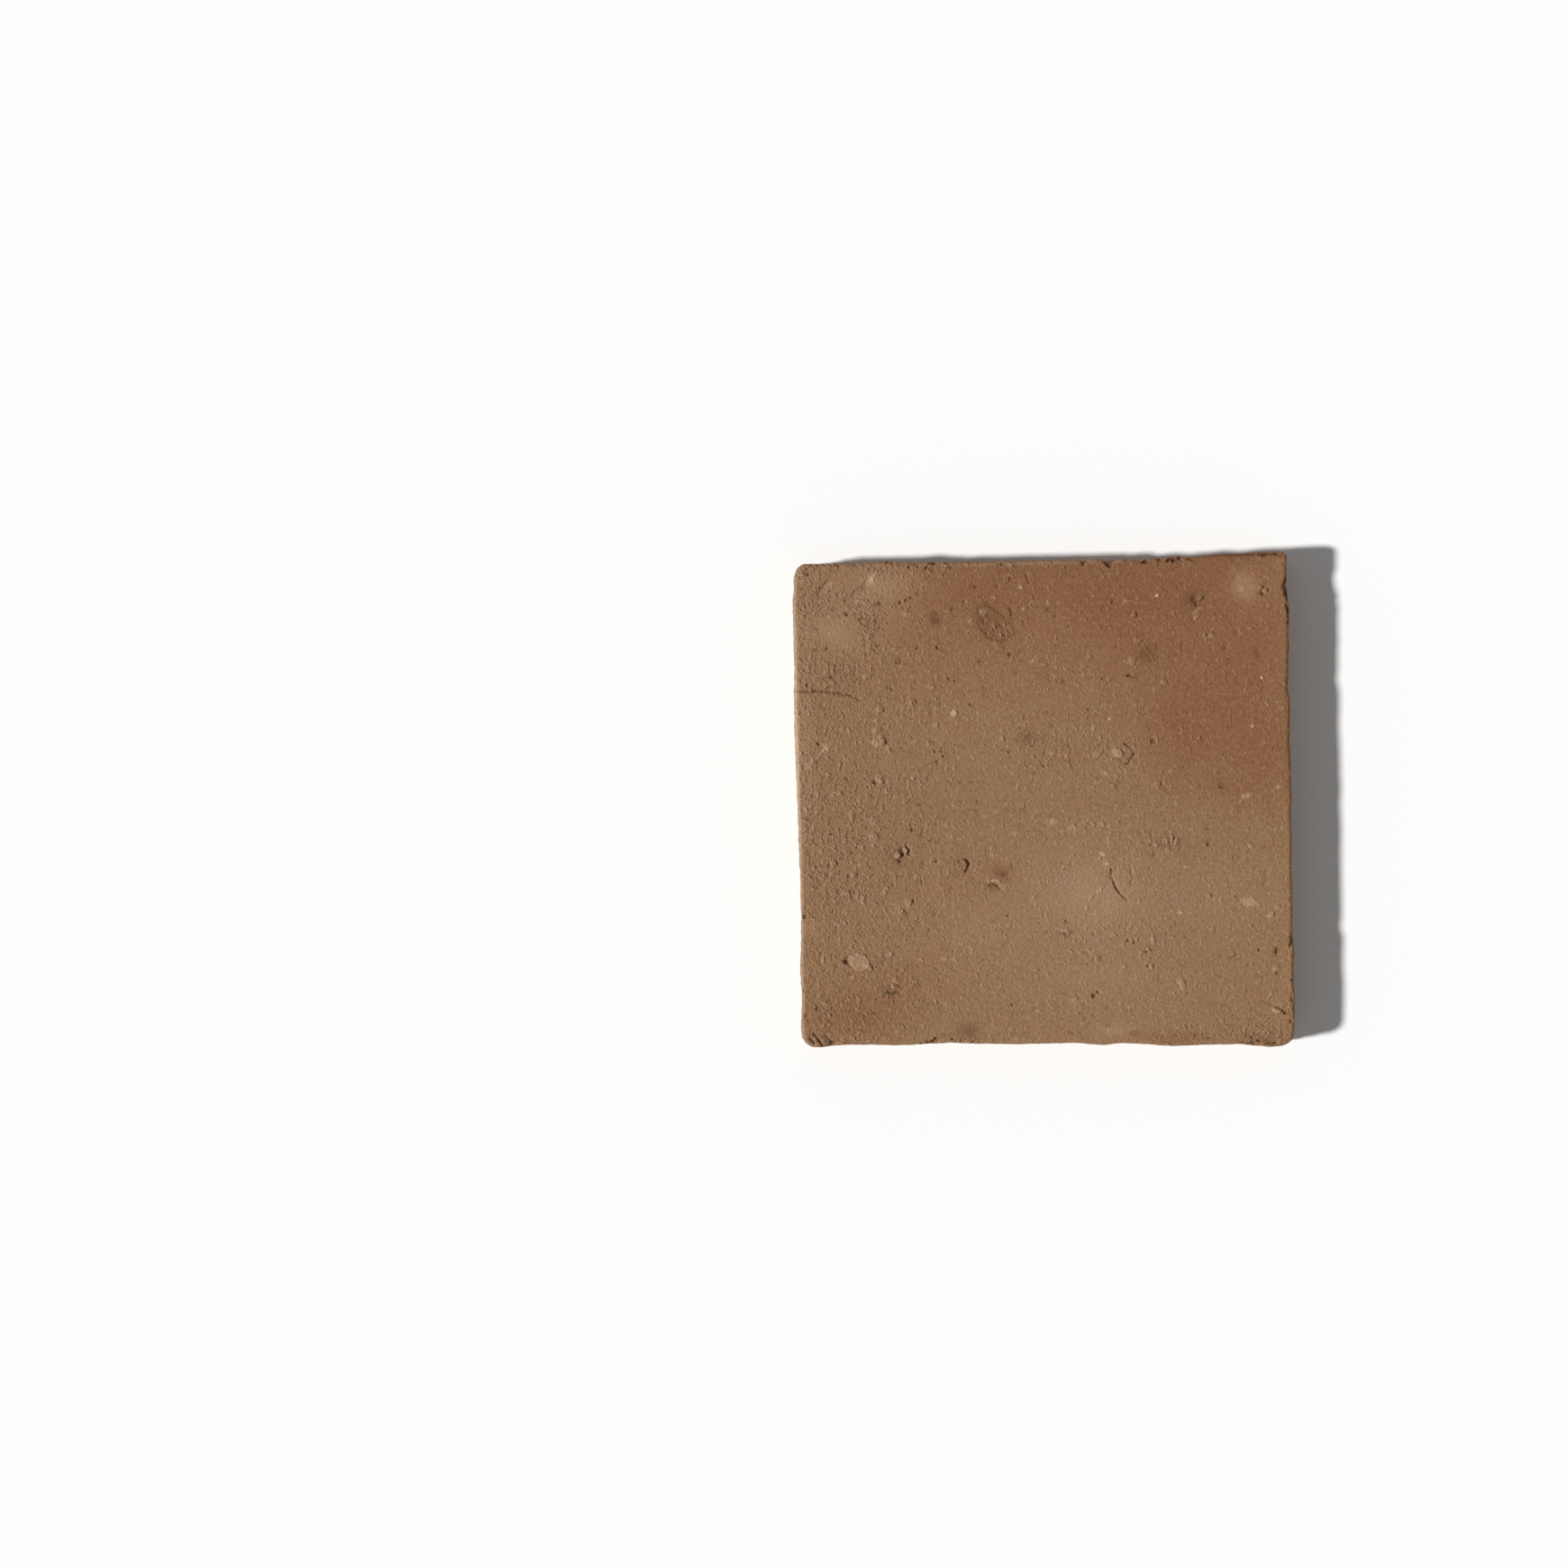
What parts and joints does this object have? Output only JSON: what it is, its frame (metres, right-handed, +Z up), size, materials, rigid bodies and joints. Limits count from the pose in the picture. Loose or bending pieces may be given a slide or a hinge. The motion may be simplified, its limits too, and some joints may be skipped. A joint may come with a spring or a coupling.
{
  "type": "terracotta floor tile",
  "caption": "Square hand-moulded terracotta floor tile with worn edges, chipped arris and a pitted, gritty wearing face, for laying on a mortar bed.",
  "frame": {"origin": "middle of the bed face, the underside the tile lies on", "axes": "+Z up through the wearing face; seen from above, +Y is the edge that runs out into an ear and +X is the edge on its right"},
  "size_m": [0.2, 0.1996, 0.022],
  "materials": {
    "terracotta": "unglazed, fired and worn, matt"
  },
  "bodies": {
    "root": {"terracotta_tile": "terracotta"}
  },
  "joints": []
}
